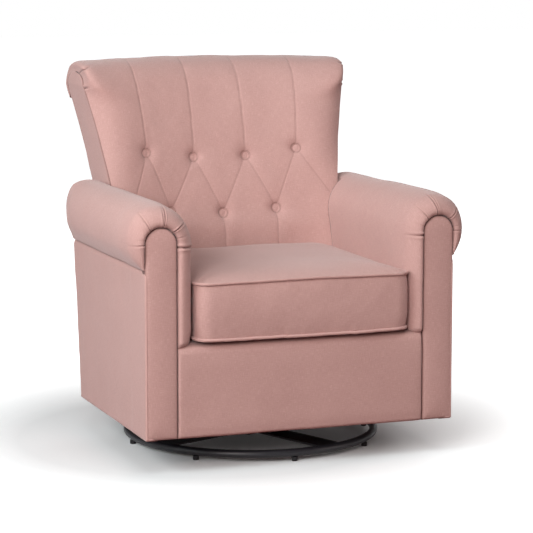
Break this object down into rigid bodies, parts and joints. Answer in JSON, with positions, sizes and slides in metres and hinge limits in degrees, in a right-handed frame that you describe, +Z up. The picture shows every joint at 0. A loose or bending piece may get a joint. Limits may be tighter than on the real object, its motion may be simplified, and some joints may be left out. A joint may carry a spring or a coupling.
{
  "type": "glider nursery chair",
  "caption": "Rolled-arm upholstered nursery chair with a button-tufted, slightly winged back and a loose box cushion; it glides on swing links and turns on a round steel base.",
  "frame": {"origin": "on the floor, under the middle of the chair's bounding box; the swivel axis stands 34.6 mm in front of it (-Y)", "axes": "+Z up, the sitter faces -Y, +X to the sitter's left"},
  "size_m": [0.814, 0.7792, 0.893],
  "materials": {
    "upholstery": "dusty pink linen-look weave, matte",
    "lining_cloth": "black non-woven lining, matte",
    "hardwood": "sawn, unfinished",
    "black_steel": "black powder coat, satin",
    "plated_steel": "zinc plate",
    "spring_wire": "oiled spring wire",
    "rubber_foot": "matte black"
  },
  "bodies": {
    "base": {"base_cross": "black_steel", "base_foot_1": "rubber_foot", "base_foot_2": "rubber_foot", "base_foot_3": "rubber_foot", "base_foot_4": "rubber_foot", "base_foot_5": "rubber_foot", "base_foot_6": "rubber_foot", "base_foot_7": "rubber_foot", "base_foot_8": "rubber_foot", "base_ring": "black_steel", "swivel_ball_race": "plated_steel", "swivel_lower_plate": "plated_steel"},
    "glide_base": {"glide_frame": "black_steel", "left_hanger_bracket": "black_steel", "right_hanger_bracket": "black_steel", "left_front_top_pin": "plated_steel", "left_rear_top_pin": "plated_steel", "right_front_top_pin": "plated_steel", "right_rear_top_pin": "plated_steel"},
    "left_front_link_body": {"left_front_link": "plated_steel"},
    "left_rear_link_body": {"left_rear_link": "plated_steel"},
    "right_front_link_body": {"right_front_link": "plated_steel"},
    "right_rear_link_body": {"right_rear_link": "plated_steel"},
    "seat": {"back_low_rail": "hardwood", "back_top_rail": "hardwood", "dust_cover": "lining_cloth", "front_border": "upholstery", "front_rail": "hardwood", "inside_back_pad": "upholstery", "left_arm_facing": "upholstery", "left_arm_frame": "hardwood", "left_arm_pad": "upholstery", "left_back_stile": "hardwood", "left_front_low_pin": "plated_steel", "left_rear_low_pin": "plated_steel", "left_seat_rail": "black_steel", "left_side_rail": "hardwood", "lower_button_1": "upholstery", "lower_button_2": "upholstery", "lower_button_3": "upholstery", "outside_back": "upholstery", "rear_rail": "hardwood", "right_arm_facing": "upholstery", "right_arm_frame": "hardwood", "right_arm_pad": "upholstery", "right_back_stile": "hardwood", "right_front_low_pin": "plated_steel", "right_rear_low_pin": "plated_steel", "right_seat_rail": "black_steel", "right_side_rail": "hardwood", "seat_cushion": "upholstery", "seat_deck": "lining_cloth", "seat_spring_1": "spring_wire", "seat_spring_2": "spring_wire", "seat_spring_3": "spring_wire", "seat_spring_4": "spring_wire", "upper_button_1": "upholstery", "upper_button_2": "upholstery", "upper_button_3": "upholstery", "upper_button_4": "upholstery"}
  },
  "joints": [
    {"name": "swivel", "type": "hinge", "parent": "base", "child": "glide_base", "pos_m": [0, -0.0346, 0.029], "axis": [0, 0, 1], "continuous": true},
    {"name": "glide", "type": "hinge", "parent": "glide_base", "child": "left_front_link_body", "pos_m": [0.226, -0.1146, 0.225], "axis": [1, 0, 0], "range_deg": [-26, 26]},
    {"name": "seat_level", "type": "hinge", "parent": "left_front_link_body", "child": "seat", "pos_m": [0.226, -0.1146, 0.105], "axis": [1, 0, 0], "range_deg": [-26, 26]},
    {"name": "right_front_swing", "type": "hinge", "parent": "glide_base", "child": "right_front_link_body", "pos_m": [-0.226, -0.1146, 0.225], "axis": [1, 0, 0], "range_deg": [-26, 26]},
    {"name": "left_rear_swing", "type": "hinge", "parent": "glide_base", "child": "left_rear_link_body", "pos_m": [0.226, 0.0454, 0.225], "axis": [1, 0, 0], "range_deg": [-26, 26]},
    {"name": "right_rear_swing", "type": "hinge", "parent": "glide_base", "child": "right_rear_link_body", "pos_m": [-0.226, 0.0454, 0.225], "axis": [1, 0, 0], "range_deg": [-26, 26]}
  ],
  "couplings": [
    {"joint": "seat_level", "follows": "glide", "ratio": -1},
    {"joint": "right_front_swing", "follows": "glide", "ratio": 1},
    {"joint": "left_rear_swing", "follows": "glide", "ratio": 1},
    {"joint": "right_rear_swing", "follows": "glide", "ratio": 1}
  ]
}
